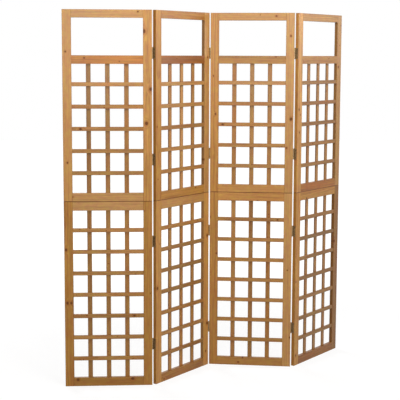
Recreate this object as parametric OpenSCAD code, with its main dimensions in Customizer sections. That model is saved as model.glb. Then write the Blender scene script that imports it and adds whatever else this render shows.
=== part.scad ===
// Folding lattice screen of four hinged panels, standing in its open zigzag.
//
// Each panel is two softwood frames, one stacked on the other and dowelled at the seam. Rails are
// tenoned between the stiles, and thin slats cross in two layers: crossbars in front, uprights
// behind. Small butt hinges are screwed to the panel edges and fold the panels concertina-fashion.
//
// Row frame: x along the screen from its left end to its right end, y from front to back, z up.
// The origin is on the floor, in the middle of the screen's footprint.
// Panel frame: x along the panel from its left edge, y from front face to back face, z up.

/* [Panel frames] */
// Width of one panel over its two stiles
panel_w = 418; // [360:1:500]
// Height of each lower frame, from the floor to the seam
lower_h = 900; // [800:1:1000]
// Height of each upper frame, from the seam to the top
upper_h = 900; // [800:1:1000]
// Thickness of the frame timber, front to back
frame_t = 18; // [17:0.5:24]
// Width of a stile, seen from the front
stile_w = 42; // [38:0.5:60]
// Height of the top rail
top_rail_h = 38; // [30:0.5:60]
// Height of the open window under the top rail
window_h = 174; // [100:1:260]
// Height of the rail under the window
window_rail_h = 40; // [30:0.5:60]
// Height of the upper frame's foot rail, just above the seam
foot_rail_h = 40; // [38:0.5:60]
// Height of the lower frame's head rail, just below the seam
head_rail_h = 44; // [38:0.5:60]
// Height of the bottom rail
bottom_rail_h = 42; // [30:0.5:60]
// Chamfer that eases the edges of the frame timber
frame_ease = 1; // [0.4:0.1:1.5]

/* [Lattice] */
// Number of uprights in a frame
upright_count = 3; // [1:1:4]
// Number of crossbars in an upper frame
upper_bar_count = 5; // [2:1:7]
// Number of crossbars in a lower frame
lower_bar_count = 7; // [2:1:9]
// Width of an upright, seen from the front
upright_w = 22; // [16:0.5:28]
// Thickness of an upright
upright_t = 6.5; // [5:0.5:7]
// Height of a crossbar, seen from the front
bar_h = 19.5; // [15:0.5:26]
// Thickness of a crossbar
bar_t = 8.5; // [6:0.5:9]
// Depth of the crossbars' front behind the frame's front face
lattice_setback = 1.5; // [1:0.1:2]
// Depth to which the end of a slat is housed in the frame
housing_l = 8; // [4:0.5:12]
// Chamfer that eases the edges of the slats
slat_ease = 0.7; // [0.3:0.1:1]

/* [Joinery] */
// Thickness of a rail tenon
tenon_t = 6; // [5:0.5:8]
// Length of a rail tenon
tenon_l = 22; // [12:1:26]
// Shoulder above and below a tenon
tenon_shoulder = 8; // [4:0.5:12]
// Radius of the dowels that join the two frames of a panel
dowel_r = 4; // [3:0.5:5]
// Length of a dowel
dowel_l = 50; // [30:1:56]
// Chamfer round the ends of a dowel
dowel_ease = 1; // [0.5:0.1:1.5]
// Clearance round a tenon, a housed slat or a dowel
joint_fit = 0.1; // [0.05:0.05:0.2]
// Room for glue beyond the end of a tenon, a slat or a dowel
glue_room = 1; // [0.5:0.1:2]

/* [Hinges] */
// Height of a hinge leaf
leaf_h = 55; // [45:1:75]
// Width of the flat part of a leaf, measured on the panel's edge
leaf_w = 15; // [13:0.5:16]
// Thickness of the hinge metal
leaf_t = 1.2; // [0.8:0.1:1.4]
// Radius of a hinge pin
pin_r = 1.25; // [1:0.05:1.3]
// Radius of the rivet head at each end of a pin
pin_head_r = 1.9; // [1.6:0.1:2.4]
// Height of the rivet head
pin_head_h = 0.7; // [0.4:0.1:1.2]
// Number of knuckles in a hinge
knuckle_count = 5; // [3:2:7]
// Gap between neighbouring knuckles
knuckle_gap = 0.25; // [0.15:0.05:0.5]
// Running clearance round the pin in the knuckles that turn
pin_fit = 0.05; // [0.02:0.01:0.1]
// Clearance round the pin in the knuckles that hold it
pin_grip = 0.01; // [0.01:0.01:0.02]
// Gap between two panels' edges when the screen is pulled straight
edge_gap = 3; // [3:0.1:5]
// Distance of the pin's axis from the face that the knuckles stand on
pin_setoff = 2.75; // [2.75:0.05:4]
// Height of the outermost hinges above the floor and below the top
hinge_from_end = 200; // [120:1:280]
// Height of the inner hinges above and below the seam
hinge_from_seam = 197; // [120:1:280]

/* [Hinge screws] */
// Number of screws in a leaf
screw_count = 3; // [2:1:4]
// Distance between neighbouring screws
screw_pitch = 17; // [12:0.5:20]
// Sideways step of each screw from the middle of the leaf
screw_stagger = 2.5; // [0:0.1:3]
// Radius of a screw's head
screw_head_r = 2.8; // [2.3:0.1:3]
// Radius of a screw's shank
screw_r = 1.4; // [1.1:0.1:1.6]
// Length of a screw
screw_l = 14; // [10:0.5:17]
// Length of a screw's point
screw_point_l = 3; // [2:0.5:4]
// Clearance round a screw in its leaf and in the timber
screw_fit = 0.03; // [0.02:0.01:0.06]
// Length of each bar of the cross recess in a screw's head
recess_l = 3; // [2:0.1:3.4]
// Width of each bar of the cross recess
recess_w = 0.6; // [0.4:0.1:0.8]
// Depth of the cross recess
recess_d = 0.8; // [0.4:0.1:1]

/* [Standing pose] */
// Fold between the first and the second panel, from straight
fold_1_2 = 48.8; // [10:0.1:100]
// Fold between the second and the third panel, the other way
fold_2_3 = 58.1; // [10:0.1:100]
// Fold between the third and the fourth panel
fold_3_4 = 57.5; // [10:0.1:100]

/* [Hidden] */
PANELS = [1, 2, 3, 4];
FRAME_PARTS = [
    "top_rail", "window_rail", "foot_rail", "head_rail", "bottom_rail",
    "upper_left_stile", "upper_right_stile", "lower_left_stile", "lower_right_stile",
    "uprights", "crossbars", "dowels", "hinge_leaves", "hinge_screws"
];
JOINTS = ["1_2", "2_3", "3_4"];

pine = "#b98a5c";
pine_slat = "#ad7f52";
beech = "#d9c29c";
dark_steel = "#5a544c";
screw_steel = "#6b655c";

panel_h = lower_h + upper_h;
seam_z = lower_h;
window_z = panel_h - top_rail_h - window_h;
upright_y = lattice_setback + bar_t;
cut_over = 1;
round_fn = 48;

// Each rail's span in z, frame by frame
bottom_rail = [0, bottom_rail_h];
head_rail = [seam_z - head_rail_h, seam_z];
foot_rail = [seam_z, seam_z + foot_rail_h];
window_rail = [window_z - window_rail_h, window_z];
top_rail = [panel_h - top_rail_h, panel_h];

// The lattice fields between the rails
lower_field = [bottom_rail[1], head_rail[0]];
upper_field = [foot_rail[1], window_rail[0]];
inner_w = [stile_w, panel_w - stile_w];

// Start of each of n strips of width w that divide a span into equal openings
function strips(span, n, w) =
    let (opening = (span[1] - span[0] - n * w) / (n + 1))
    [for (i = [1 : n]) span[0] + i * opening + (i - 1) * w];

upright_xs = strips(inner_w, upright_count, upright_w);
upper_bar_zs = strips(upper_field, upper_bar_count, bar_h);
lower_bar_zs = strips(lower_field, lower_bar_count, bar_h);
// A dowel stands in the middle of each column of openings
dowel_xs = strips(inner_w, upright_count + 1, 0);

// Hinges: which face carries the knuckles at each joint, 1 for the back and -1 for the front
BACK = 1;
FRONT = -1;
NONE = 0;
knuckle_faces = [BACK, FRONT, BACK];
lower_hinge_zs = [hinge_from_end, seam_z - hinge_from_seam];
upper_hinge_zs = [seam_z + hinge_from_seam, panel_h - hinge_from_end];
hinge_zs = concat(lower_hinge_zs, upper_hinge_zs);
knuckle_r = pin_r + leaf_t;
knuckle_h = (leaf_h - (knuckle_count - 1) * knuckle_gap) / knuckle_count;
screw_spots = [
    for (i = [0 : screw_count - 1]) [
        leaf_w / 2 + (i % 2 == 0 ? screw_stagger : -screw_stagger),
        (i - (screw_count - 1) / 2) * screw_pitch
    ]
];

// The joint on each side of a panel: its knuckle face, or NONE at the free ends of the screen
function left_joint(k) = k == 1 ? NONE : knuckle_faces[k - 2];
function right_joint(k) = k == len(PANELS) ? NONE : knuckle_faces[k - 1];
// Depth of the pin's axis in the panel frame
function axis_y(face) = face == BACK ? frame_t + pin_setoff : -pin_setoff;

// Chain of panels in plan. A fold turns the next panel towards the face that has the knuckles.
folds = [fold_1_2, fold_2_3, fold_3_4];
function turned(v, a) = [v.x * cos(a) - v.y * sin(a), v.x * sin(a) + v.y * cos(a)];
function heading(k, first) =
    k == 1 ? first :
    heading(k - 1, first) + knuckle_faces[k - 2] * folds[k - 2];
function corner(k, first) =
    k == 1 ? [0, 0] :
    let (y = axis_y(knuckle_faces[k - 2]))
    corner(k - 1, first)
        + turned([panel_w + edge_gap / 2, y], heading(k - 1, first))
        - turned([-edge_gap / 2, y], heading(k, first));
function plan_point(k, p, first) = corner(k, first) + turned(p, heading(k, first));

// The first panel is turned so that the screen's two ends lie on a line along x
last = len(PANELS);
chord = plan_point(last, [panel_w, 0], 0);
first_heading = -atan2(chord.y, chord.x);

// The footprint, from the eased corners of every panel
eased_corners = [
    for (x = [0, panel_w]) for (y = [0, frame_t])
    for (step = [[frame_ease, 0], [0, frame_ease]])
    [x + (x == 0 ? step.x : -step.x), y + (y == 0 ? step.y : -step.y)]
];
footprint = [for (k = PANELS) for (p = eased_corners) plan_point(k, p, first_heading)];
function middle(values) = (min(values) + max(values)) / 2;
centre = [middle([for (p = footprint) p.x]), middle([for (p = footprint) p.y])];

module place_panel(k) {
    at = corner(k, first_heading) - centre;
    translate([at.x, at.y, 0])
        rotate([0, 0, heading(k, first_heading)])
            children();
}

// A rectangle with its corners cut off
module eased_outline(a, b, ease) {
    polygon([
        [ease, 0], [a - ease, 0], [a, ease], [a, b - ease],
        [a - ease, b], [ease, b], [0, b - ease], [0, ease]
    ]);
}

// Boards with eased long edges: one standing along z, one lying along x
module standing_board(w, t, h, ease) {
    linear_extrude(h) eased_outline(w, t, ease);
}

module lying_board(l, t, h, ease) {
    rotate([90, 0, 90]) linear_extrude(l) eased_outline(t, h, ease);
}

// A standing board whose ends are eased too
module eased_post(w, t, h, ease) {
    intersection() {
        standing_board(w, t, h, ease);
        lying_board(w, t, h, ease);
        translate([0, t, 0]) rotate([90, 0, 0]) linear_extrude(t) eased_outline(w, h, ease);
    }
}

// The pocket in a stile for the tenon of a rail that spans z
module tenon_mortise(rail) {
    translate([
        stile_w - tenon_l - glue_room,
        (frame_t - tenon_t) / 2 - joint_fit,
        rail[0] + tenon_shoulder - joint_fit
    ])
        cube([
            tenon_l + glue_room + cut_over,
            tenon_t + 2 * joint_fit,
            rail[1] - rail[0] - 2 * tenon_shoulder + 2 * joint_fit
        ]);
}

// The pocket in a stile for the end of a crossbar
module bar_housing(z) {
    translate([stile_w - housing_l - glue_room, lattice_setback - joint_fit, z - joint_fit])
        cube([housing_l + glue_room + cut_over, bar_t + 2 * joint_fit, bar_h + 2 * joint_fit]);
}

// Pilot holes for the screws of a leaf on the panel's left edge
module pilot_holes(face, z) {
    hole_l = screw_l - leaf_t + glue_room;
    for (spot = screw_spots)
        translate([-cut_over, face == BACK ? frame_t - spot[0] : spot[0], z + spot[1]])
            rotate([0, 90, 0])
                cylinder(h = hole_l + cut_over, r = screw_r + screw_fit, $fn = round_fn);
}

// A left stile from z0 up, with its mortises, housings and pilot holes
module stile(z0, h, rails, bar_zs, face, hinges) {
    color(pine) difference() {
        translate([0, 0, z0]) eased_post(stile_w, frame_t, h, frame_ease);
        for (rail = rails) tenon_mortise(rail);
        for (z = bar_zs) bar_housing(z);
        if (face != NONE)
            for (z = hinges) pilot_holes(face, z);
    }
}

// Turns what is made for a panel's left edge to its right edge
module right_hand() {
    translate([panel_w, 0, 0]) mirror([1, 0, 0]) children();
}

module lower_stile(face) {
    stile(0, lower_h, [bottom_rail, head_rail], lower_bar_zs, face, lower_hinge_zs);
}

module upper_stile(face) {
    stile(seam_z, upper_h, [foot_rail, window_rail, top_rail], upper_bar_zs, face, upper_hinge_zs);
}

// A rail between the stiles, with a tenon at each end
module plain_rail(rail) {
    rail_l = inner_w[1] - inner_w[0];
    rail_h = rail[1] - rail[0];
    translate([stile_w, 0, rail[0]]) lying_board(rail_l, frame_t, rail_h, frame_ease);
    translate([stile_w - tenon_l, (frame_t - tenon_t) / 2, rail[0] + tenon_shoulder])
        cube([rail_l + 2 * tenon_l, tenon_t, rail_h - 2 * tenon_shoulder]);
}

// Pockets for the ends of the uprights, sunk down from z when down is true and up from it otherwise
module upright_housings(z, down) {
    for (x = upright_xs)
        translate([
            x - joint_fit,
            upright_y - joint_fit,
            down ? z - housing_l - glue_room : z - cut_over
        ])
            cube([
                upright_w + 2 * joint_fit,
                upright_t + 2 * joint_fit,
                housing_l + glue_room + cut_over
            ]);
}

// Holes for the dowels, half in each of the two rails at the seam
module dowel_holes() {
    for (x = dowel_xs)
        translate([x, frame_t / 2, seam_z - dowel_l / 2 - glue_room])
            cylinder(h = dowel_l + 2 * glue_room, r = dowel_r + joint_fit, $fn = round_fn);
}

// A rail with housings for the uprights. They stand on it when above is true, and otherwise end in
// its lower edge.
module lattice_rail(rail, above) {
    difference() {
        plain_rail(rail);
        upright_housings(above ? rail[1] : rail[0], above);
    }
}

module top_rail_piece() {
    color(pine) plain_rail(top_rail);
}

module window_rail_piece() {
    color(pine) lattice_rail(window_rail, false);
}

module foot_rail_piece() {
    color(pine) difference() {
        lattice_rail(foot_rail, true);
        dowel_holes();
    }
}

module head_rail_piece() {
    color(pine) difference() {
        lattice_rail(head_rail, false);
        dowel_holes();
    }
}

module bottom_rail_piece() {
    color(pine) lattice_rail(bottom_rail, true);
}

// Length of a slat that spans a field and is housed at both ends
function slat_l(span) = span[1] - span[0] + 2 * housing_l;

// Upright slats, housed top and bottom, behind the crossbars
module uprights() {
    color(pine_slat)
        for (field = [lower_field, upper_field])
            for (x = upright_xs)
                translate([x, upright_y, field[0] - housing_l])
                    standing_board(upright_w, upright_t, slat_l(field), slat_ease);
}

// Crossbar slats, housed in the stiles, in front of the uprights
module crossbars() {
    color(pine_slat)
        for (z = concat(lower_bar_zs, upper_bar_zs))
            translate([stile_w - housing_l, lattice_setback, z])
                lying_board(slat_l(inner_w), bar_t, bar_h, slat_ease);
}

module dowel() {
    rotate_extrude($fn = round_fn)
        polygon([
            [0, 0], [dowel_r - dowel_ease, 0], [dowel_r, dowel_ease],
            [dowel_r, dowel_l - dowel_ease], [dowel_r - dowel_ease, dowel_l], [0, dowel_l]
        ]);
}

module dowels() {
    color(beech)
        for (x = dowel_xs) translate([x, frame_t / 2, seam_z - dowel_l / 2]) dowel();
}

// Hinge frame: the pin's axis is z, halfway up the leaf. The panel that the leaf is screwed to lies
// at x > edge_gap / 2 and y < -pin_setoff, so its edge faces -x and its knuckle face faces +y.
module at_knuckle(i) {
    translate([0, 0, -leaf_h / 2 + i * (knuckle_h + knuckle_gap)]) children();
}

// Flat metal of a leaf, h high, from its free edge to end_y
module leaf_flat(h, end_y) {
    translate([edge_gap / 2 - leaf_t, -pin_setoff - leaf_w, 0])
        cube([leaf_t, pin_setoff + leaf_w + end_y, h]);
}

// A screw's place on the face of a leaf, with the leaf's thickness along z
module at_screw(spot) {
    translate([edge_gap / 2 - leaf_t, -pin_setoff - spot[0], spot[1]])
        rotate([0, 90, 0])
            children();
}

// The countersunk hole for a screw
module countersink() {
    cylinder(h = leaf_t, r1 = screw_head_r + screw_fit, r2 = screw_r + screw_fit, $fn = round_fn);
}

// A leaf that owns every second knuckle, counted from first
module hinge_leaf(first, bore_fit) {
    knuckles = [first : 2 : knuckle_count - 1];
    difference() {
        union() {
            translate([0, 0, -leaf_h / 2]) leaf_flat(leaf_h, -knuckle_r - knuckle_gap);
            for (i = knuckles)
                at_knuckle(i) {
                    cylinder(h = knuckle_h, r = knuckle_r, $fn = round_fn);
                    leaf_flat(knuckle_h, 0);
                }
        }
        for (i = knuckles)
            at_knuckle(i)
                translate([0, 0, -knuckle_gap / 2])
                    cylinder(h = knuckle_h + knuckle_gap, r = pin_r + bore_fit, $fn = round_fn);
        for (spot = screw_spots) at_screw(spot) countersink();
    }
}

// A countersunk screw with a cross recess, its head at z = 0 and its point up
module hinge_screw() {
    difference() {
        rotate_extrude($fn = round_fn)
            polygon([
                [0, 0], [screw_head_r, 0], [screw_r, leaf_t],
                [screw_r, screw_l - screw_point_l], [0, screw_l]
            ]);
        for (turn = [0, 90])
            rotate([0, 0, turn])
                translate([-recess_l / 2, -recess_w / 2, -cut_over])
                    cube([recess_l, recess_w, recess_d + cut_over]);
    }
}

module leaf_screws() {
    for (spot = screw_spots) at_screw(spot) hinge_screw();
}

// Sets a hinge-frame shape on a panel's left edge, at each hinge's height
module on_left_edge(face) {
    if (face != NONE)
        for (z = hinge_zs)
            translate([-edge_gap / 2, axis_y(face), z])
                if (face == BACK) children();
                else mirror([0, 1, 0]) children();
}

// The leaves on a panel's right edge hold the pins, and those on its left edge turn on them
module hinge_leaves(k) {
    color(dark_steel) {
        on_left_edge(left_joint(k)) hinge_leaf(1, pin_fit);
        right_hand() on_left_edge(right_joint(k)) hinge_leaf(0, pin_grip);
    }
}

module hinge_screws(k) {
    color(screw_steel) {
        on_left_edge(left_joint(k)) leaf_screws();
        right_hand() on_left_edge(right_joint(k)) leaf_screws();
    }
}

// A pin through all the knuckles, with a domed rivet head at each end
module hinge_pin() {
    steps = 6;
    turns = [for (i = [0 : steps]) 90 * i / steps];
    dome = [for (turn = turns) [pin_head_r * cos(turn), leaf_h / 2 + pin_head_h * sin(turn)]];
    rotate_extrude($fn = round_fn)
        polygon(concat(
            [for (i = [steps : -1 : 0]) [dome[i].x, -dome[i].y]],
            [[pin_r, -leaf_h / 2], [pin_r, leaf_h / 2]],
            dome
        ));
}

module hinge_pins(k) {
    color(dark_steel) right_hand() on_left_edge(right_joint(k)) hinge_pin();
}

module part_of_panel(k, part) {
    if (part == "top_rail") top_rail_piece();
    if (part == "window_rail") window_rail_piece();
    if (part == "foot_rail") foot_rail_piece();
    if (part == "head_rail") head_rail_piece();
    if (part == "bottom_rail") bottom_rail_piece();
    if (part == "upper_left_stile") upper_stile(left_joint(k));
    if (part == "upper_right_stile") right_hand() upper_stile(right_joint(k));
    if (part == "lower_left_stile") lower_stile(left_joint(k));
    if (part == "lower_right_stile") right_hand() lower_stile(right_joint(k));
    if (part == "uprights") uprights();
    if (part == "crossbars") crossbars();
    if (part == "dowels") dowels();
    if (part == "hinge_leaves") hinge_leaves(k);
    if (part == "hinge_screws") hinge_screws(k);
}

for (k = PANELS)
    for (part = FRAME_PARTS)
        place_panel(k) part_of_panel(k, part);
for (j = [0 : len(JOINTS) - 1])
    place_panel(j + 1) hinge_pins(j + 1);
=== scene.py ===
# %% [markdown]
# # A folding lattice screen in stained softwood
#
# The screen is four panels of knotty pine, each with an open window over a square lattice of thin
# slats, hinged edge to edge so that it stands in a zigzag. Every board, slat, hinge and screw comes
# from the packed model as a fixed shape. This lesson gives them their finish: it sets up a camera
# and soft light, finds out how each board lies, and builds the wood and the steel from procedural
# shaders.
#
# All lengths are in metres, with z up and the floor at z = 0.

# %% Load the packed model
import math
import random

import bpy
import numpy as np
from mathutils import Matrix, Vector


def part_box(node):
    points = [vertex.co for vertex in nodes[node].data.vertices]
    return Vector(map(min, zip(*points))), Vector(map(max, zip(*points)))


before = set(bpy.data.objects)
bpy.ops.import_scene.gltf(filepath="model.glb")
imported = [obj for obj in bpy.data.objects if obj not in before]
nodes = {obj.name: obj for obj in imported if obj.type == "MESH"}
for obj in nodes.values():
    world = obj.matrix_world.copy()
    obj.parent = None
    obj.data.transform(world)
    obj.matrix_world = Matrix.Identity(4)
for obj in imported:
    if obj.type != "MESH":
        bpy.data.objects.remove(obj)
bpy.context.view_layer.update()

# %% [markdown]
# ## The camera
#
# In the picture the upright edges run parallel, and the horizon lies high up: the camera stood about
# 1.5 m up, looked level, and had its lens moved down against the sensor. All of that movement as a
# vertical shift would push the screen out of any other view. A camera that looks down a few degrees
# needs about a quarter of the shift and gives nearly the same picture, a pixel or so off on average,
# and that is the one used here. Its focal length, place and heading are the ones at which the edges
# of the real-sized model fall closest to the edges in the picture.

# %% Set up the camera
# The first three are in pixels, and the principal row is where the lens axis meets the picture.
PICTURE_SIDE = 400
FOCAL_LENGTH = 1022.2
PRINCIPAL_ROW = 170.2
# Degrees: down from level, a slight roll, and to the right of the y axis.
CAMERA_PITCH = 6.5
CAMERA_ROLL = 0.227
CAMERA_HEADING = 25.631
CAMERA_AT = (-2.258, -4.521, 1.597)


def standing_camera():
    """A camera that looks down a little, with its lens shifted down for the rest."""
    data = bpy.data.cameras.new("view_camera")
    data.lens = data.sensor_width * FOCAL_LENGTH / PICTURE_SIDE
    data.shift_y = (PRINCIPAL_ROW - PICTURE_SIDE / 2) / PICTURE_SIDE
    camera = bpy.data.objects.new("view_camera", data)
    heading = Matrix.Rotation(math.radians(-CAMERA_HEADING), 4, "Z")
    tilt = Matrix.Rotation(math.radians(90 - CAMERA_PITCH), 4, "X")
    roll = Matrix.Rotation(math.radians(CAMERA_ROLL), 4, "Z")
    camera.matrix_world = Matrix.Translation(CAMERA_AT) @ heading @ tilt @ roll
    bpy.context.scene.collection.objects.link(camera)
    return camera


bpy.context.scene.camera = standing_camera()
bpy.context.scene.view_settings.view_transform = "Standard"
camera_data = bpy.context.scene.camera.data
print(f"lens {camera_data.lens:.1f} mm, shifted {camera_data.shift_y:.3f} of the picture")

# %% [markdown]
# ## Wiring shaders by hand
#
# Shader trees built in code are long when every node takes four lines. One small class keeps them
# short: its methods add nodes, feed them numbers or other nodes' outputs, and return an output. A
# tree can then be read as a sum, from the inside out.

# %% Write a helper for shader trees
VECTOR, VALUE = "NodeSocketVector", "NodeSocketFloat"
# The sockets of a Mix node that mixes colours: its share, its two colours and its result.
MIX_SHARE, MIX_START, MIX_END, MIX_RESULT = 0, 6, 7, 2


class Wiring:
    """Adds nodes to one shader tree. An input may be a number, a tuple or another node's output."""

    def __init__(self, tree):
        self.tree = tree

    def feed(self, socket, value):
        """Links an output to a socket, or writes a plain value on it."""
        if isinstance(value, bpy.types.NodeSocket):
            self.tree.links.new(value, socket)
        else:
            socket.default_value = value

    def add(self, kind, inputs=(), **settings):
        """Adds a node with its settings and its inputs, each given by name or number."""
        node = self.tree.nodes.new(kind)
        for key, value in settings.items():
            setattr(node, key, value)
        for key, value in dict(inputs).items():
            self.feed(node.inputs[key], value)
        return node

    def math(self, operation, *values):
        """One sum on numbers."""
        return self.add("ShaderNodeMath", enumerate(values), operation=operation).outputs[0]

    def gather(self, operation, values):
        """One sum carried through a list, such as the greatest of several numbers."""
        total, *rest = values
        for value in rest:
            total = self.math(operation, total, value)
        return total

    def reach(self, first, second):
        """How far two sides at right angles reach together."""
        squares = self.math("ADD", self.math("POWER", first, 2), self.math("POWER", second, 2))
        return self.math("SQRT", squares)

    def weigh(self, start, parts):
        """A start value plus each mask times its weight."""
        for mask, weight in parts:
            start = self.math("MULTIPLY_ADD", mask, weight, start)
        return start

    def swing(self, mark, depth):
        """A level that swings round 1 as a noise swings round its middle, one half."""
        return self.math("MULTIPLY_ADD", self.math("SUBTRACT", mark, 0.5), depth, 1.0)

    def vector(self, operation, *values):
        """One sum on vectors."""
        node = self.add("ShaderNodeVectorMath", enumerate(values), operation=operation)
        return node.outputs["Value" if operation == "LENGTH" else "Vector"]

    def scale(self, vector, factor):
        """A vector or a colour times a number."""
        inputs = {0: vector, "Scale": factor}
        return self.add("ShaderNodeVectorMath", inputs, operation="SCALE").outputs["Vector"]

    def split(self, vector):
        """The three numbers of a vector."""
        return self.add("ShaderNodeSeparateXYZ", {0: vector}).outputs

    def fade(self, value, start, end, low=0.0, high=1.0, way="SMOOTHSTEP"):
        """Low below start, high above end, and a step between that is smooth or straight."""
        inputs = {"Value": value, "From Min": start, "From Max": end, "To Min": low, "To Max": high}
        return self.add("ShaderNodeMapRange", inputs, interpolation_type=way).outputs[0]

    def noise(self, vector, detail=2.0, roughness=0.5):
        """Soft noise with a middle of one half."""
        inputs = {"Vector": vector, "Scale": 1.0, "Detail": detail, "Roughness": roughness}
        return self.add("ShaderNodeTexNoise", inputs).outputs[0]

    def blend(self, share, start, end, way="MIX"):
        """From one colour to another by a share."""
        inputs = {MIX_SHARE: share, MIX_START: start, MIX_END: end}
        return self.add("ShaderNodeMix", inputs, data_type="RGBA", blend_type=way).outputs[MIX_RESULT]

    def coat(self, colour, coats):
        """Lays coats over a colour, each given as its mask, its strength and its own colour."""
        for mask, strength, paint in coats:
            colour = self.blend(self.math("MULTIPLY", mask, strength), colour, paint)
        return colour

    def place(self, group, **inputs):
        """Puts a shared group in this tree. A socket's spaces are underscores here."""
        node = self.add("ShaderNodeGroup", node_tree=group)
        for key, value in inputs.items():
            self.feed(node.inputs[key.replace("_", " ")], value)
        return node.outputs

    def attribute(self, name):
        """The three numbers that a mesh attribute holds at a point."""
        return self.add("ShaderNodeAttribute", attribute_name=name).outputs["Vector"]


print("wiring can", [name for name in vars(Wiring) if not name.startswith("_")])

# %% [markdown]
# ## Starting materials and groups
#
# A material starts as one Principled BSDF, the shader that stands for paint, wood and metal alike.
# An effect that several materials share, such as worn edges, is a group: it is built once with named
# sockets, and each material places it with values of its own. Only masks and numbers leave a group,
# and the shader stays in the material, because that is what an export can read.

# %% Start materials and groups
def new_material(name):
    """A material, its shader and the wiring of its tree."""
    material = bpy.data.materials.new(name)
    material.use_nodes = True
    return material, material.node_tree.nodes["Principled BSDF"], Wiring(material.node_tree)


def shared_group(name, inputs, outputs):
    """An empty group with named sockets: its wiring, what comes in and what goes out."""
    tree = bpy.data.node_groups.new(name, "ShaderNodeTree")
    for label, kind in inputs.items():
        tree.interface.new_socket(label, in_out="INPUT", socket_type=kind)
    for label, kind in outputs.items():
        tree.interface.new_socket(label, in_out="OUTPUT", socket_type=kind)
    wiring = Wiring(tree)
    return wiring, wiring.add("NodeGroupInput").outputs, wiring.add("NodeGroupOutput").inputs


print("materials and groups can be started")

# %% [markdown]
# ## Surround
#
# The picture has a white background, but a world as bright as that would wash out every shadow. The
# Light Path node tells which rays come from the camera, from a mirror or through glass. Those see
# the world as plain white, and to all other rays it is a dim grey that only fills the shadows.

# %% Fill the surround
WHITE = (1, 1, 1, 1)
SURROUND_LEVEL = 0.12


def seen_directly(wiring):
    """1 for rays from the camera, from a mirror or through glass, and 0 for all others."""
    path = wiring.add("ShaderNodeLightPath").outputs
    kinds = ("Is Camera Ray", "Is Glossy Ray", "Is Transmission Ray")
    return wiring.gather("MAXIMUM", [path[kind] for kind in kinds])


def pale_surround():
    """A world that is white to the eye and a soft grey source to everything else."""
    world = bpy.data.worlds.new("surround")
    world.use_nodes = True
    wiring = Wiring(world.node_tree)
    sky = world.node_tree.nodes["Background"]
    wiring.feed(sky.inputs["Color"], WHITE)
    level = wiring.fade(seen_directly(wiring), 0, 1, SURROUND_LEVEL, 1, "LINEAR")
    wiring.feed(sky.inputs["Strength"], level)
    return world


bpy.context.scene.world = pale_surround()
print("a surround at", SURROUND_LEVEL)

# %% [markdown]
# ## Lamps
#
# In the picture the wood is paler and milkier near the top than at the foot. That is varnish
# mirroring a soft source at head height, and the panels face two ways, so two sources do it: one to
# the left for the first and third panels, and one far to the right for the other two. A front and an
# overhead lamp give the plain light, and a fifth lamp lights the back.

# %% Place the lamps
def soft_lamp(name, at, aim, size, watts):
    """A rectangular area lamp at a point, turned towards another."""
    data = bpy.data.lights.new(name, "AREA")
    data.shape = "RECTANGLE"
    data.size, data.size_y = size
    data.energy = watts
    lamp = bpy.data.objects.new(name, data)
    lamp.location = at
    lamp.rotation_euler = (Vector(at) - Vector(aim)).to_track_quat("Z", "Y").to_euler()
    bpy.context.scene.collection.objects.link(lamp)
    return lamp


lamps = [
    soft_lamp("overhead_source", at=(0.2, -1.5, 3.0), aim=(0, 0, 1.4), size=(3.0, 0.9), watts=48),
    soft_lamp("front_source", at=(0.4, -5.2, 2.8), aim=(0, 0, 1.5), size=(1.6, 1.6), watts=86),
    soft_lamp("left_source", at=(-3.1, -5.0, 2.2), aim=(0, 0, 1.5), size=(1.4, 1.4), watts=78),
    soft_lamp("right_source", at=(6.2, -1.5, 2.4), aim=(0, 0, 1.5), size=(1.8, 1.8), watts=70),
    soft_lamp("back_source", at=(-0.6, 4.6, 2.9), aim=(0, 0, 1.2), size=(2.6, 1.6), watts=150)
]
print([lamp.name for lamp in lamps])

# %% [markdown]
# ## The floor
#
# The floor is a disc of grey paint with a glow that only the camera, mirrors and glass see. The
# paint takes the screen's shadow, and the glow lifts it to a faint one. Further out the glow alone
# is plain white, so that no floor edge shows.

# %% Lay the floor
FLOOR_RADIUS = 14.0
FLOOR_SIDES = 96
FLOOR_PAINT = (0.22, 0.22, 0.22, 1)
FLOOR_ROUGHNESS = 0.9
FLOOR_SHINE = 0.1
# The glow near the screen, and the reach within which it stays so. It is full at twice that reach.
FLOOR_GLOW = 0.81
SHADOW_RADIUS = 1.6


def floor_finish():
    """Grey paint, with a glow that adds nothing to the light on the screen."""
    material, paint, wiring = new_material("pale_floor")
    wiring.feed(paint.inputs["Base Color"], FLOOR_PAINT)
    wiring.feed(paint.inputs["Roughness"], FLOOR_ROUGHNESS)
    wiring.feed(paint.inputs["Specular IOR Level"], FLOOR_SHINE)
    wiring.feed(paint.inputs["Emission Color"], WHITE)
    far = wiring.vector("LENGTH", wiring.add("ShaderNodeTexCoord").outputs["Object"])
    glow = wiring.fade(far, SHADOW_RADIUS, 2 * SHADOW_RADIUS, FLOOR_GLOW, 1, "LINEAR")
    seen = wiring.math("MULTIPLY", glow, seen_directly(wiring))
    wiring.feed(paint.inputs["Emission Strength"], seen)
    return material


def pale_floor():
    """A disc that shows the shadow near the screen and plain white beyond."""
    disc = bpy.data.meshes.new("floor")
    turns = [2 * math.pi * side / FLOOR_SIDES for side in range(FLOOR_SIDES)]
    rim = [(FLOOR_RADIUS * math.cos(turn), FLOOR_RADIUS * math.sin(turn), 0) for turn in turns]
    disc.from_pydata(rim, [], [range(FLOOR_SIDES)])
    disc.materials.append(floor_finish())
    floor = bpy.data.objects.new("floor", disc)
    bpy.context.scene.collection.objects.link(floor)
    return floor


print(pale_floor().name, "disc of radius", FLOOR_RADIUS, "m")

# %% [markdown]
# ## Where each board lies
#
# Grain runs along a board, whichever way the board points, and no two boards are cut from the same
# spot in the tree. A shader that reads plain object coordinates knows neither, so the next steps
# give each board coordinates of its own.
#
# The panels stand at angles, so their directions come first. The crossbars all run the same way,
# and the direction in which their points spread most is the panel's own x axis.

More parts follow.
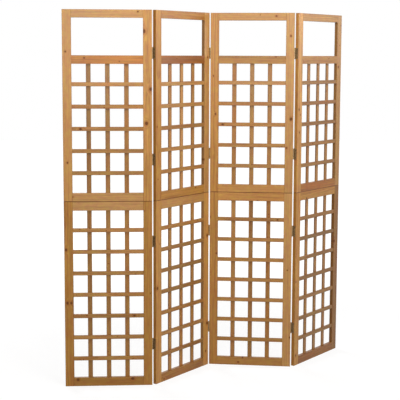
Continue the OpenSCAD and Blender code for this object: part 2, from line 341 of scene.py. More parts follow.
# %% Find how the panels stand
PANELS = (1, 2, 3, 4)


def points_of(piece):
    """The vertices of a piece as rows of x, y, z."""
    flat = np.zeros(3 * len(piece.data.vertices))
    piece.data.vertices.foreach_get("co", flat)
    return flat.reshape(-1, 3)


def panel_frame(number):
    """A panel's turn as a matrix, and the corners of its lower frame in its own axes."""
    bars = points_of(nodes[f"panel_{number}_crossbars"])[:, :2]
    along = np.linalg.eigh(np.cov(bars.T))[1][:, -1]
    along = along * np.sign(along[0])
    turn = np.array([[along[0], along[1], 0], [-along[1], along[0], 0], [0, 0, 1]])
    stiles = np.vstack([
        points_of(nodes[f"panel_{number}_{part}_stile"]) @ turn.T
        for part in ("lower_left", "lower_right")
    ])
    return turn, stiles.min(0), stiles.max(0)


panel_frames = {number: panel_frame(number) for number in PANELS}
for number, (turn, *_) in panel_frames.items():
    print(f"panel {number} heads {math.degrees(math.asin(turn[0, 1])):.2f} degrees from x")
_, low_corner, high_corner = panel_frames[1]
half_panel = (high_corner[0] - low_corner[0]) / 2
seam_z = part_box("panel_1_foot_rail")[0][2]
print(f"a panel is {2 * half_panel:.3f} m wide, and its seam is {seam_z:.3f} m up")

# %% [markdown]
# ## One piece, many solids
#
# The twelve crossbars of a panel are one piece, and each of them needs grain of its own. Solids that
# share no edge are told apart by spreading numbers: each vertex starts with its own, every edge
# hands the lower of its two numbers on, and what is left when nothing changes is one number for
# each solid. Vertices that lie in the same spot count as one.

# %% Tell the solids of a piece apart
WELD_STEP = 1e-6
# Places are compared to a tenth of a millimetre, so that rounding can't change their order.
PLACE_DIGITS = 4


def solids_of(piece):
    """For each vertex, the number of the solid that it belongs to."""
    points = np.round(points_of(piece) / WELD_STEP).astype(np.int64)
    spots, spot_of = np.unique(points, axis=0, return_inverse=True)
    spot_of = spot_of.ravel()
    ends = np.zeros(2 * len(piece.data.edges), np.int64)
    piece.data.edges.foreach_get("vertices", ends)
    first, second = spot_of[ends[0::2]], spot_of[ends[1::2]]
    label = np.arange(len(spots))
    while True:
        lower = np.minimum(label[first], label[second])
        spread = label.copy()
        np.minimum.at(spread, first, lower)
        np.minimum.at(spread, second, lower)
        spread = spread[spread]
        if (spread == label).all():
            break
        label = spread
    return np.unique(label[spot_of], return_inverse=True)[1].ravel()


def solids_in_order(piece, points):
    """A mask of the vertices of each solid, in order of its low corner among the points."""
    solid_of = solids_of(piece)
    masks = [solid_of == solid for solid in range(solid_of.max() + 1)]
    return sorted(masks, key=lambda mine: tuple(np.round(points[mine].min(0), PLACE_DIGITS)))


counts = {name: int(solids_of(piece).max()) + 1 for name, piece in nodes.items()}
print(f"{sum(counts.values())} solids, {counts['panel_1_crossbars']} of them crossbars of panel 1")

# %% [markdown]
# ## Knots and tone
#
# Knots sit where branches were. The ones that stand out in the picture are listed for each panel by
# their distance from the panel's left edge, their height and their radius.
#
# Boards differ in tone, as in any batch of stained pine. Those that stand out in the picture get a
# named tone: the rail under the second panel's window is red, for instance. The paler tones of the
# second panel's boards are partly painted light, for the lamp light that panel lacks. A tone is three
# numbers: shade, warmth and how streaky the board is.

# %% List the knots and the boards that stand out
KNOTS = {
    1: [
        (0.380, 1.700, 0.0065), (0.412, 1.431, 0.0060), (0.392, 1.270, 0.0060), (0.015, 1.605, 0.0030),
        (0.009, 0.668, 0.0050), (0.013, 0.410, 0.0050), (0.031, 0.410, 0.0045), (0.082, 1.243, 0.0045),
        (0.060, 0.032, 0.0050), (0.323, 0.034, 0.0060), (0.332, 0.345, 0.0040), (0.020, 1.085, 0.0030)
    ],
    2: [(0.402, 1.580, 0.0030), (0.405, 0.678, 0.0045), (0.407, 0.220, 0.0055), (0.010, 0.473, 0.0055)],
    3: [
        (0.400, 1.687, 0.0035), (0.406, 1.274, 0.0060), (0.015, 1.487, 0.0025), (0.026, 1.296, 0.0035),
        (0.063, 1.244, 0.0045), (0.345, 0.761, 0.0035)
    ],
    4: [(0.390, 1.530, 0.0045), (0.014, 1.320, 0.0040), (0.382, 0.600, 0.0060), (0.150, 1.139, 0.0035)]
}
KNOTTY_PIECES = ("rail", "stile", "crossbars")
PLAIN = (0, 0, 0)
TONES = {
    "pale": (0.45, -0.6, 0), "light": (0.35, -0.1, 0), "milky": (0.05, -0.9, 0),
    "bleached": (0.3, -1.0, 0.3), "streaky": (0.3, -0.4, 0.6), "honey": (-0.4, -0.65, 0.1),
    "smoky": (-0.4, -0.3, 0.4), "dull": (-0.3, -0.1, 0), "dark": (-0.6, 0.1, 0),
    "rosy": (0.5, 0.6, 0.4), "rusty": (-0.1, 0.8, 0.3), "red": (-1.05, 1.0, 0.8)
}
TONED_BOARDS = {
    1: {"top_rail": "bleached", "window_rail": "rosy", "foot_rail": "milky", "head_rail": "milky",
        "bottom_rail": "dark", "upper_left_stile": "pale", "upper_right_stile": "pale",
        "lower_right_stile": "dull", "crossbars": "light"},
    # The second panel's paler tones are partly painted light, for the lamp light that panel lacks.
    2: {"window_rail": "red", "head_rail": "milky", "bottom_rail": "rusty", "lower_left_stile": "pale",
        "upper_right_stile": "milky", "lower_right_stile": "pale", "uprights": "light"},
    3: {"top_rail": "milky", "window_rail": "smoky", "foot_rail": "pale", "head_rail": "pale",
        "bottom_rail": "dull", "upper_left_stile": "light", "lower_left_stile": "light",
        "upper_right_stile": "milky", "lower_right_stile": "milky", "crossbars": "light"},
    4: {"top_rail": "honey", "foot_rail": "rusty", "bottom_rail": "red", "upper_left_stile": "streaky",
        "lower_left_stile": "light", "upper_right_stile": "honey", "lower_right_stile": "dark",
        "crossbars": "dark"}
}
print(sum(len(spots) for spots in KNOTS.values()), "knots placed by hand")

# %% [markdown]
# ## Small knots
#
# Each board has room for three knots. Where fewer are listed, small ones follow at random places,
# from a seeded generator so that every run gives the same screen. They are drawn for every board,
# needed or not, so that a knot can be added to the list without changing the other boards.

# %% Draw the small knots
MOST_KNOTS = 3
# The chance of a first small knot on a board whose half length is over a limit, and on others.
LONG_HALF = 0.25
LONG_CHANCE, SHORT_CHANCE = 0.8, 0.45
# Each further knot is less likely than the one before by this factor.
NEXT_CHANCE = 0.6
# How far from the middle it may lie, its radius in shares of the half width, and the largest radius.
KNOT_REACH = 0.92
SMALL_RADIUS = (0.08, 0.22)
LARGEST_SMALL = 0.0032
luck = random.Random(14)


def listed_knots(spots, low, high, order):
    """The listed knots that a solid has, as (along, across, radius) from its middle."""
    middle, half = (low + high) / 2, (high - low) / 2
    found = []
    for x, z, radius in spots:
        at = np.array([x, middle[1], z]) - middle
        if (abs(at) <= half + radius / 2).all():
            found.append((at[order[0]], at[order[1]], radius))
    return found


def small_knots(half_length, half_width):
    """Knots at random places, as (along, across, radius). A radius of zero is no knot."""
    chance = LONG_CHANCE if half_length > LONG_HALF else SHORT_CHANCE
    found = []
    for _ in range(MOST_KNOTS):
        along = luck.uniform(-KNOT_REACH, KNOT_REACH) * half_length
        across = luck.uniform(-1, 1) * half_width
        radius = luck.uniform(*SMALL_RADIUS) * half_width if luck.random() < chance else 0
        found.append((along, across, min(radius, LARGEST_SMALL)))
        chance *= NEXT_CHANCE
    return found


print("room for", MOST_KNOTS, "knots on each board")

# %% [markdown]
# ## What each board knows
#
# A shader can read a named attribute, which holds three numbers for each vertex. So that is where a
# board keeps what is its own: the position along, across and through it from its middle, half its
# size, three random numbers, its tone, its knots, and its place on the panel. The longest side of a
# solid is the way its grain runs. The vertices themselves stay where they are.

# %% Store each board's own coordinates
# How far the tone of a board strays by chance, and how streaky boards are.
TONE_SPREAD = 0.2
STREAKY_RANGE = (0.1, 0.6)
# Sides of a board are ranked by length to a hundredth of a millimetre.
SIDE_DIGITS = 5
LAYERS = ("board_at", "board_half", "board_luck", "board_tone", "knot_1", "knot_2", "knot_3")


def panel_of(name):
    """The first number in a piece's name, which is its panel's."""
    return int(next(word for word in name.split("_") if word.isdigit()))


def lay_grain(name, piece):
    """Writes the board attributes of every solid of a piece."""
    number = panel_of(name)
    tone = TONED_BOARDS[number].get(name.removeprefix(f"panel_{number}_"))
    spots = KNOTS[number] if any(part in name for part in KNOTTY_PIECES) else []
    turn, corner, _ = panel_frames[number]
    points = points_of(piece) @ turn.T - corner
    layers = {key: np.zeros((len(points), 3)) for key in LAYERS}
    layers["board_place"] = points - (half_panel, 0, seam_z)
    for mine in solids_in_order(piece, points):
        low, high = points[mine].min(0), points[mine].max(0)
        half = (high - low) / 2
        order = np.argsort(-np.round(half, SIDE_DIGITS), kind="stable")
        layers["board_at"][mine] = (points[mine] - (low + high) / 2)[:, order]
        layers["board_half"][mine] = half[order]
        layers["board_luck"][mine] = [luck.random() for _ in range(3)]
        drawn = (luck.gauss(0, TONE_SPREAD), luck.gauss(0, TONE_SPREAD), luck.uniform(*STREAKY_RANGE))
        layers["board_tone"][mine] = np.add(TONES.get(tone, PLAIN), drawn)
        knots = listed_knots(spots, low, high, order) + small_knots(*half[order][:2])
        for index, knot in enumerate(knots[:MOST_KNOTS]):
            layers[f"knot_{index + 1}"][mine] = knot
    for key, values in layers.items():
        layer = piece.data.attributes.new(key, "FLOAT_VECTOR", "POINT")
        layer.data.foreach_set("vector", values.astype(np.float32).ravel())


for name in sorted(nodes):
    lay_grain(name, nodes[name])
print("board attributes on", len(nodes), "pieces")

# %% [markdown]
# ## Edges and ends
#
# A board is darker along its edges, and handling rubs them pale here and there. The cut ends drink more
# stain than the planed faces, and the narrow sides get a painted shade. All of it can be found without
# baking anything: on a box-shaped board, a point on a face has one zero distance to the box's sides,
# which tells the face, and the next smallest of the three distances is how far it is from the nearest
# edge.

# %% Group: edges and ends of a board
# The mask of a side is full within half of this depth, and gone beyond it.
FACE_DEPTH = 0.0004


def edge_group():
    """Masks for the edges, the cut ends and the narrow sides of a board, the last for painted shade."""
    wiring, given, made = shared_group(
        "board_edges",
        {"Position": VECTOR, "Half size": VECTOR, "Edge width": VALUE},
        {"Edge": VALUE, "End": VALUE, "Side": VALUE},
    )
    inset = wiring.vector("SUBTRACT", given["Half size"], wiring.vector("ABSOLUTE", given["Position"]))
    along, across, through = wiring.split(inset)
    least, most, total = (
        wiring.gather(operation, [along, across, through])
        for operation in ("MINIMUM", "MAXIMUM", "ADD")
    )
    second = wiring.math("SUBTRACT", wiring.math("SUBTRACT", total, least), most)
    edge = wiring.math("DIVIDE", second, given["Edge width"])
    wiring.feed(made["Edge"], wiring.fade(edge, 0, 1, 1, 0))
    wiring.feed(made["End"], wiring.fade(along, FACE_DEPTH / 2, FACE_DEPTH, 1, 0))
    # The narrow sides, which take a painted shade.
    wiring.feed(made["Side"], wiring.fade(across, FACE_DEPTH / 2, FACE_DEPTH, 1, 0))
    return wiring.tree


edges = edge_group()
print("group", edges.name, "with", len(edges.nodes), "nodes")

# %% [markdown]
# ## A knot
#
# A knot is a branch cut across: a dark disc a little longer than it is wide, a black line of bark
# round it, and resin-soaked wood beside it. The trunk's rings flow round it. That flow comes almost
# free: a smooth hump added to the distance from the tree's heart bends every ring near the knot,
# as contour lines bend round a hill.

# %% Group: a knot
# Distances are in knot radii: where the heart ends, where the bark starts and ends, and the resin.
HEART_EDGE = (0.8, 1.05)
BARK_START, BARK_END = (0.72, 0.95), (1.0, 1.3)
RESIN_REACH = (1.0, 3.2)
KNOT_STRETCH = 1.25
# The hill that bends the rings, also in knot radii.
HILL_LENGTH, HILL_WIDTH, HILL_HEIGHT = 3.2, 2.0, 1.7
# How ragged the outline is, from a noise that changes this often per metre.
KNOT_WOBBLE = 0.5
KNOT_WOBBLE_SCALE = (160, 160, 60)
# Keeps a place without a knot from dividing by zero.
SMALLEST_RADIUS = 1e-5


def knot_group():
    """Masks for one knot, and the hill that bends the rings round it."""
    wiring, given, made = shared_group(
        "knot",
        {"Position": VECTOR, "Knot": VECTOR, "Luck": VECTOR},
        {"Core": VALUE, "Bark": VALUE, "Resin": VALUE, "Hill": VALUE},
    )
    knot_along, knot_across, size = wiring.split(given["Knot"])
    radius = wiring.math("MAXIMUM", size, SMALLEST_RADIUS)
    along, across, _ = wiring.split(given["Position"])
    off_along = wiring.math("DIVIDE", wiring.math("SUBTRACT", along, knot_along), radius)
    off_across = wiring.math("DIVIDE", wiring.math("SUBTRACT", across, knot_across), radius)
    ragged_at = wiring.vector("MULTIPLY_ADD", given["Position"], KNOT_WOBBLE_SCALE, given["Luck"])
    shift = wiring.math("SUBTRACT", wiring.noise(ragged_at), 0.5)
    stretched = wiring.math("DIVIDE", off_along, KNOT_STRETCH)
    distance = wiring.math("MULTIPLY_ADD", shift, KNOT_WOBBLE, wiring.reach(stretched, off_across))
    wiring.feed(made["Core"], wiring.fade(distance, *HEART_EDGE, 1, 0))
    bark_in, bark_out = wiring.fade(distance, *BARK_START), wiring.fade(distance, *BARK_END, 1, 0)
    wiring.feed(made["Bark"], wiring.math("MULTIPLY", bark_in, bark_out))
    wiring.feed(made["Resin"], wiring.fade(distance, *RESIN_REACH, 1, 0))
    slope_along = wiring.math("POWER", wiring.math("DIVIDE", off_along, HILL_LENGTH), 2)
    slope_across = wiring.math("POWER", wiring.math("DIVIDE", off_across, HILL_WIDTH), 2)
    fall = wiring.math("MULTIPLY", wiring.math("ADD", slope_along, slope_across), -1)
    hill = wiring.math("MULTIPLY", wiring.math("EXPONENT", fall), HILL_HEIGHT)
    wiring.feed(made["Hill"], wiring.math("MULTIPLY", hill, size))
    return wiring.tree


knot = knot_group()
print("group", knot.name, "with", len(knot.nodes), "nodes")

# %% [markdown]
# ## Growth rings
#
# A tree's rings are nearly cylinders round its heart, and the heart lies somewhere outside the
# board. The distance from that line, divided by the ring spacing, counts the rings between them.
# Because the distance is worked out in three dimensions, faces show long arches and lines, and the
# cut ends show arcs, without any further care. Two noises keep the rings natural: the heart wanders
# on its way up the tree, and some years grow wider rings than others.

# %% Count the rings out from the heart
# Where the heart lies: off to the side by up to half of the spread, and at some depth.
HEART_SPREAD = 0.10
HEART_NEAREST, HEART_RANGE = 0.014, 0.05
# The heart's slant to the board, and how it wanders: noise per metre along and across.
TAPER = 0.03
TAPER_SHUFFLE = 7
WANDER_SCALE = (3.4, 22, 22)
RING_WANDER = 0.012
RING_SEED = (37, 53, 71)
# How unlike each other the widths of rings are, and over how many rings that changes.
RING_UNEVEN = 1.1
UNEVEN_SCALE, UNEVEN_SEED = 0.37, 90


def rings_passed(wiring, given):
    """The number of rings between the heart and a point, with its fraction."""
    along, across, through = wiring.split(given["Position"])
    first, second, third = wiring.split(given["Luck"])
    seed = wiring.vector("MULTIPLY", given["Luck"], RING_SEED)
    slow = wiring.noise(wiring.vector("MULTIPLY_ADD", given["Position"], WANDER_SCALE, seed), detail=3)
    drift = wiring.math("MULTIPLY", wiring.math("SUBTRACT", slow, 0.5), given["Wander"])
    heart_across = wiring.math("MULTIPLY", wiring.math("SUBTRACT", first, 0.5), HEART_SPREAD)
    depth = wiring.math("MULTIPLY_ADD", second, HEART_RANGE, HEART_NEAREST)
    side = wiring.math("SIGN", wiring.math("SUBTRACT", third, 0.5))
    off_across = wiring.math("SUBTRACT", across, heart_across)
    off_through = wiring.math("SUBTRACT", through, wiring.math("MULTIPLY", depth, side))
    from_heart = wiring.reach(off_across, off_through)
    shuffled = wiring.math("FRACT", wiring.math("MULTIPLY", third, TAPER_SHUFFLE))
    lean = wiring.math("MULTIPLY", wiring.math("SUBTRACT", shuffled, 0.5), TAPER)
    taper = wiring.math("MULTIPLY", lean, along)
    radius = wiring.math("ADD", from_heart, wiring.math("ADD", taper, drift))
    rings = wiring.math("DIVIDE", wiring.math("ADD", radius, given["Hill"]), given["Spacing"])
    uneven_at = {"W": wiring.math("MULTIPLY_ADD", first, UNEVEN_SEED, rings), "Scale": UNEVEN_SCALE}
    uneven = wiring.add("ShaderNodeTexNoise", {**uneven_at, "Detail": 1.0}, noise_dimensions="1D")
    return wiring.math("MULTIPLY_ADD", uneven.outputs[0], RING_UNEVEN, rings)


print(f"a heart {HEART_NEAREST} to {HEART_NEAREST + HEART_RANGE:.3f} m deep")

# %% [markdown]
# ## Latewood
#
# Each ring ends in dark latewood, which comes slowly through the summer and stops at once in winter.
# So the fraction of a ring is shaped as a saw tooth: a slow rise and a sharp end. A random number
# for each ring makes some years faint.

# %% Group: growth rings
# The rise and the end as shares of a ring, and the power that makes the rise late.
LATE_RISE, LATE_END = (0.1, 0.9), (0.93, 1.0)
LATE_SHARPNESS = 1.6
FAINTEST_YEAR = 0.4


def ring_group():
    """The latewood lines of a board sawn from somewhere in a tree."""
    wiring, given, made = shared_group(
        "growth_rings",
        {"Position": VECTOR, "Luck": VECTOR, "Hill": VALUE, "Spacing": VALUE, "Wander": VALUE},
        {"Latewood": VALUE},
    )
    rings = rings_passed(wiring, given)
    share = wiring.math("FRACT", rings)
    rise = wiring.math("POWER", wiring.fade(share, *LATE_RISE), LATE_SHARPNESS)
    line = wiring.math("MULTIPLY", rise, wiring.fade(share, *LATE_END, 1, 0))
    year = {"W": wiring.math("FLOOR", rings)}
    chance = wiring.add("ShaderNodeTexWhiteNoise", year, noise_dimensions="1D").outputs["Value"]
    strength = wiring.math("MULTIPLY_ADD", chance, 1 - FAINTEST_YEAR, FAINTEST_YEAR)
    wiring.feed(made["Latewood"], wiring.math("MULTIPLY", line, strength))
    return wiring.tree


rings = ring_group()
print("group", rings.name, "with", len(rings.nodes), "nodes")

# %% [markdown]
# ## Fibres and stain
#
# Three scales of streak lie over the rings: fine fibres, pencil-wide bands where the stain took
# more or less, and soft clouds from the sponge. A fourth is a mottle of small patches: pine drinks
# stain unevenly, so it is pale and a little olive in one spot, and darker and a little rosy in the
# next. They are all noise, stretched along the board by different amounts.

# %% Group: fibres and stain
# The noise of each mark, per metre along and across the board, with its detail and roughness.
MARKS = {
    "Fibre": ((16, 1500, 1500), 2, 0.6),
    "Streak": ((4.5, 150, 150), 3, 0.55),
    "Cloud": ((9, 26, 26), 2, 0.5),
    "Mottle": ((34, 70, 70), 2, 0.55)
}
STAIN_SEED = (61, 29, 43)


def noise_group(name, noises, spread):
    """A group of noises in a board's own coordinates, at a place of its own on each board."""
    wiring, given, made = shared_group(
        name, {"Position": VECTOR, "Luck": VECTOR}, {label: VALUE for label in noises}
    )
    seed = wiring.vector("MULTIPLY", given["Luck"], spread)
    for label, (scale, detail, roughness) in noises.items():
        place = wiring.vector("MULTIPLY_ADD", given["Position"], scale, seed)
        wiring.feed(made[label], wiring.noise(place, detail, roughness))
    return wiring.tree


stain = noise_group("fibres_and_stain", MARKS, STAIN_SEED)
print("group", stain.name, "with", len(stain.nodes), "nodes")

# %% [markdown]
# ## Stain on the wood
#
# The frame boards, the slats and the dowels are the same kind of material with other colours, ring
# spacing and strength of figure, so one set of functions builds all three. Colour goes on in the
# order in which a maker would see it. First come early and late wood, then the board's own tone,
# which is a redder or a paler stain and a lighter or darker level, and then the streaks, the fibres
# and the mottle.

# %% The colour of a stained board
EARLY_PINE, LATE_PINE = (0.452, 0.221, 0.045, 1), (0.298, 0.115, 0.017, 1)
EARLY_SLAT, LATE_SLAT = (0.395, 0.200, 0.054, 1), (0.255, 0.104, 0.023, 1)
EARLY_BEECH, LATE_BEECH = (0.62, 0.43, 0.24, 1), (0.50, 0.31, 0.15, 1)
RED_STAIN = (0.370, 0.108, 0.014, 1)
PALE_STAIN = (0.550, 0.305, 0.115, 1)
OLIVE_TINT = (0.95, 1.01, 0.90, 1)
ROSE_TINT = (1.05, 0.96, 1.08, 1)
# Shares of red and of pale stain for a full unit of warmth, above and below zero.
WARM_RED, COOL_PALE = 0.55, 0.5
CLOUD_RANGE, CLOUD_RED = (0.35, 0.75), 0.28
MOTTLE_RANGE = (0.32, 0.68)
# How far each mark moves the level, and how far a full unit of shade does.
STREAK_DEPTH, STREAKY_DEPTH = 0.35, 0.9
FIBRE_DEPTH = 0.22
PATCHINESS = 0.5
SHADE_DEPTH = 0.34


def stained(wiring, colour, marks):
    """A board's own tone, its streaks, its fibres and its mottle, laid over bare wood."""
    shade, warmth, streaky = wiring.split(wiring.attribute("board_tone"))
    clouds = wiring.fade(marks["Cloud"], *CLOUD_RANGE, 0, CLOUD_RED)
    red = wiring.math("MULTIPLY_ADD", wiring.math("MAXIMUM", warmth, 0), WARM_RED, clouds)
    pale = wiring.math("MULTIPLY", wiring.math("MINIMUM", warmth, 0), -COOL_PALE)
    colour = wiring.blend(pale, wiring.blend(red, colour, RED_STAIN), PALE_STAIN)
    streak_depth = wiring.math("MULTIPLY_ADD", streaky, STREAKY_DEPTH, STREAK_DEPTH)
    level = wiring.gather("MULTIPLY", [
        wiring.swing(marks["Streak"], streak_depth),
        wiring.swing(marks["Fibre"], FIBRE_DEPTH),
        wiring.swing(marks["Mottle"], -PATCHINESS),
        wiring.math("MULTIPLY_ADD", shade, SHADE_DEPTH, 1.0)
    ])
    tint = wiring.blend(wiring.fade(marks["Mottle"], *MOTTLE_RANGE), OLIVE_TINT, ROSE_TINT)
    return wiring.blend(1.0, wiring.scale(colour, level), tint, "MULTIPLY")


print("a stain of", len(MARKS), "marks")

# %% [markdown]
# ## Knots, ends, edges, painted shade and wear
#
# Over the stain lie the knots, the darker cut ends, a painted shade on the narrow sides, a darker band
# along the edges, a painted shadow in the seam between the upper and the lower frame, and the rubbed
# edges last. The painted shade is deep on the sides that face into the openings and faint on a panel's
# two outer sides.

# %% The marks on a board
RESIN, RESIN_SHARE = (0.340, 0.105, 0.012, 1), 0.6
KNOT_HEART, HEART_SHARE = (0.135, 0.038, 0.004, 1), 0.95
KNOT_BARK, BARK_SHARE = (0.080, 0.024, 0.004, 1), 0.75
END_SHARE = 0.45
# Painted shade on the narrow sides: its colour, and its share inside the openings and on a panel's two
# outer sides.
SIDE_SHADE_COLOUR = (0.150, 0.060, 0.012, 1)
INNER_SHADE, OUTER_SHADE = 0.5, 0.1
# One colour for a darker band along every edge and for a painted shadow in the seam between the frames.
EDGE_DARK_AND_SEAM_SHADOW = (0.135, 0.042, 0.011, 1)
EDGE_WIDTH, EDGE_DARK_SHARE = 0.0018, 0.4
# The painted shadow in the seam: the distances over which it fades out, and its share.
SEAM_SHADOW_FADE, SEAM_SHADOW = (0.0014, 0.0024), 0.85
RUB_RANGE = (0.5, 0.7)


def knot_marks(wiring, at, own_luck):
    """The masks of all knots of a board, and the hills that bend its rings."""
    spots = [
        wiring.place(knot, Position=at, Knot=wiring.attribute(f"knot_{index + 1}"), Luck=own_luck)
        for index in range(MOST_KNOTS)
    ]
    marks = {
        label: wiring.gather("MAXIMUM", [spot[label] for spot in spots])
        for label in ("Core", "Bark", "Resin")
    }
    marks["Hill"] = wiring.gather("ADD", [spot["Hill"] for spot in spots])
    return marks


def marked(wiring, colour, knots, borders, rub, edge_wear):
    """Knots, ends, painted shade on the sides and in the seam, darker edges and wear, laid over the
    stain.
    """
    from_middle = wiring.vector("ABSOLUTE", wiring.attribute("board_place"))
    off_centre, _, seam_distance = wiring.split(from_middle)
    # Painted shade on the narrow sides: deep inside the openings, faint on a panel's two outer sides.
    outer = wiring.fade(off_centre, half_panel - FACE_DEPTH, half_panel - FACE_DEPTH / 2)
    side_shade = wiring.math("MULTIPLY_ADD", outer, OUTER_SHADE - INNER_SHADE, INNER_SHADE)
    return wiring.coat(colour, [
        (knots["Resin"], RESIN_SHARE, RESIN),
        (knots["Core"], HEART_SHARE, KNOT_HEART),
        (knots["Bark"], BARK_SHARE, KNOT_BARK),
        (borders["End"], END_SHARE, LATE_PINE),
        (borders["Side"], side_shade, SIDE_SHADE_COLOUR),
        # A darker band along every edge.
        (borders["Edge"], EDGE_DARK_SHARE, EDGE_DARK_AND_SEAM_SHADOW),
        # A painted shadow along the seam between the upper and the lower frame.
        (wiring.fade(seam_distance, *SEAM_SHADOW_FADE, 1, 0), SEAM_SHADOW, EDGE_DARK_AND_SEAM_SHADOW),
        (rub, edge_wear, PALE_STAIN)
    ])


# The edges are darker, and the sides and the seam hold painted shade.
print("knots, ends, sides, darkening and wear ready")

# %% [markdown]
# ## Varnish
#
# The varnish is thin. It is smoothest on the hard latewood and dullest on knots, and the fibres show
# through it as a relief of less than half a millimetre. Both follow the masks that the colour has.

# %% Build the three woods
VARNISH_ROUGHNESS = 0.30
VARNISH_SHINE = 0.28
LATE_POLISH, STREAK_DULL, KNOT_DULL, RUB_DULL = -0.06, 0.12, 0.35, 0.06
FIBRE_RELIEF, LATE_RELIEF, KNOT_RELIEF = 0.6, 0.5, -0.8
WOOD_RELIEF, WOOD_RELIEF_HEIGHT = 0.35, 0.0004


def wood(name, early, late, spacing, figure, edge_wear):
    """Stained and varnished wood that follows each board's own attributes."""
    material, surface, wiring = new_material(name)
    at, half, own_luck = (wiring.attribute(key) for key in ("board_at", "board_half", "board_luck"))
    knots = knot_marks(wiring, at, own_luck)
    grain = {"Hill": knots["Hill"], "Spacing": spacing, "Wander": RING_WANDER}
    latewood = wiring.place(rings, Position=at, Luck=own_luck, **grain)["Latewood"]
    marks = wiring.place(stain, Position=at, Luck=own_luck)
    borders = wiring.place(edges, Position=at, Half_size=half, Edge_width=EDGE_WIDTH)
    rub = wiring.math("MULTIPLY", borders["Edge"], wiring.fade(marks["Cloud"], *RUB_RANGE))
    colour = wiring.blend(wiring.math("MULTIPLY", latewood, figure), early, late)
    colour = marked(wiring, stained(wiring, colour, marks), knots, borders, rub, edge_wear)
    wiring.feed(surface.inputs["Base Color"], colour)
    roughness = wiring.weigh(VARNISH_ROUGHNESS, [
        (latewood, LATE_POLISH), (marks["Streak"], STREAK_DULL),
        (knots["Core"], KNOT_DULL), (rub, RUB_DULL)
    ])
    wiring.feed(surface.inputs["Roughness"], roughness)
    relief = wiring.weigh(0.0, [
        (marks["Fibre"], FIBRE_RELIEF), (latewood, LATE_RELIEF), (knots["Core"], KNOT_RELIEF)
    ])
    bumps = {"Height": relief, "Strength": WOOD_RELIEF, "Distance": WOOD_RELIEF_HEIGHT}
    wiring.feed(surface.inputs["Normal"], wiring.add("ShaderNodeBump", bumps).outputs[0])
    wiring.feed(surface.inputs["Specular IOR Level"], VARNISH_SHINE)
    return material


frame_pine = wood("frame_pine", EARLY_PINE, LATE_PINE, spacing=0.0050, figure=0.85, edge_wear=0.35)
slat_pine = wood("slat_pine", EARLY_SLAT, LATE_SLAT, spacing=0.0034, figure=0.8, edge_wear=0.3)
dowel_beech = wood("dowel_beech", EARLY_BEECH, LATE_BEECH, spacing=0.0012, figure=0.4, edge_wear=0.1)
print("wood:", frame_pine.name, slat_pine.name, dowel_beech.name)

# %% [markdown]
# ## Hinge steel
#
# The hinges are thin pressed steel with a brown antique finish, dull and a little blotchy, rubbed
# bright along their edges. The pins are bright from turning, and the screws are a darker brown with
# a finer polish. All of it is bare metal to a shader: Metallic is 1 and the colour is the
# reflection's.

# %% Build the three steels
STEEL_BROWN = (0.400, 0.290, 0.160, 1)
STEEL_BRIGHT = (0.560, 0.460, 0.320, 1)
STEEL_DARK = (0.160, 0.110, 0.060, 1)
SCREW_BROWN = (0.200, 0.150, 0.092, 1)
METAL_EDGE = 0.0007
# Blotches of a chemical finish, and the drawn lines of the sheet under it.
PATINA = {"Blotch": ((190, 190, 190), 3, 0.5), "Drawn line": ((60, 5200, 5200), 1, 0.5)}
PATINA_SEED = (19, 83, 47)
# Over these ranges of the blotch noise, the finish darkens and the rubbed edges wear less.
DARK_RANGE, DARK_SHARES = (0.35, 0.7), (0.1, 0.7)
WEAR_RANGE, WEAR_SHARES = (0.35, 0.6), (1, 0.2)
BLOTCH_DULL, LINE_DULL = 0.25, 0.1
BLOTCH_RELIEF, LINE_RELIEF = 0.6, 0.3
STEEL_RELIEF, STEEL_RELIEF_HEIGHT = 0.2, 0.0001


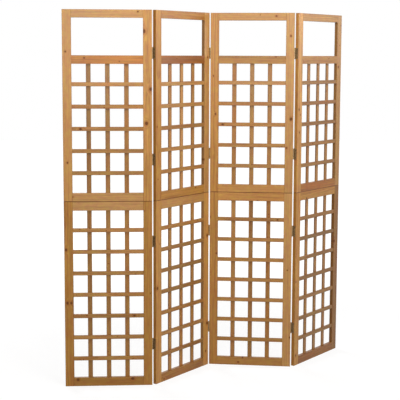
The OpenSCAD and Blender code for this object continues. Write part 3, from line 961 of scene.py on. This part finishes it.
def steel(name, ground, roughness, rubbed):
    """Antique-finished steel, brighter where it is rubbed."""
    material, surface, wiring = new_material(name)
    at, half, own_luck = (wiring.attribute(key) for key in ("board_at", "board_half", "board_luck"))
    finish = wiring.place(patina, Position=at, Luck=own_luck)
    borders = wiring.place(edges, Position=at, Half_size=half, Edge_width=METAL_EDGE)
    colour = wiring.blend(wiring.fade(finish["Blotch"], *DARK_RANGE, *DARK_SHARES), ground, STEEL_DARK)
    wear = wiring.fade(finish["Blotch"], *WEAR_RANGE, *WEAR_SHARES)
    worn = wiring.math("MULTIPLY", borders["Edge"], wear)
    wiring.feed(surface.inputs["Base Color"], wiring.coat(colour, [(worn, rubbed, STEEL_BRIGHT)]))
    dull = wiring.weigh(roughness, [(finish["Blotch"], BLOTCH_DULL), (finish["Drawn line"], LINE_DULL)])
    wiring.feed(surface.inputs["Roughness"], dull)
    relief = wiring.weigh(0.0, [(finish["Drawn line"], LINE_RELIEF), (finish["Blotch"], BLOTCH_RELIEF)])
    bumps = {"Height": relief, "Strength": STEEL_RELIEF, "Distance": STEEL_RELIEF_HEIGHT}
    wiring.feed(surface.inputs["Normal"], wiring.add("ShaderNodeBump", bumps).outputs[0])
    wiring.feed(surface.inputs["Metallic"], 1.0)
    return material


patina = noise_group("patina", PATINA, PATINA_SEED)
leaf_steel = steel("hinge_leaf_steel", STEEL_BROWN, roughness=0.34, rubbed=0.8)
pin_steel = steel("hinge_pin_steel", STEEL_BRIGHT, roughness=0.26, rubbed=0.6)
screw_steel = steel("hinge_screw_steel", SCREW_BROWN, roughness=0.26, rubbed=0.9)
print("steel:", leaf_steel.name, pin_steel.name, screw_steel.name)

# %% [markdown]
# ## Dressing the pieces
#
# Each packed piece keeps its mesh and gets one of the materials above, chosen by what the piece is.

# %% Give every piece its material
FINISHES = {
    "rail": frame_pine, "stile": frame_pine, "uprights": slat_pine, "crossbars": slat_pine,
    "dowels": dowel_beech, "leaves": leaf_steel, "screws": screw_steel, "pins": pin_steel
}


def dress(name, piece):
    """Sets the material that goes with the piece's name."""
    kind = next(word for word in FINISHES if word in name)
    for slot in piece.material_slots:
        slot.material = FINISHES[kind]
    return kind


dressed = [dress(name, piece) for name, piece in nodes.items()]
print({kind: dressed.count(kind) for kind in FINISHES})

# %% [markdown]
# ## The real size
#
# Nothing here changes the real size: every piece keeps the shape and place it has in the packed model.
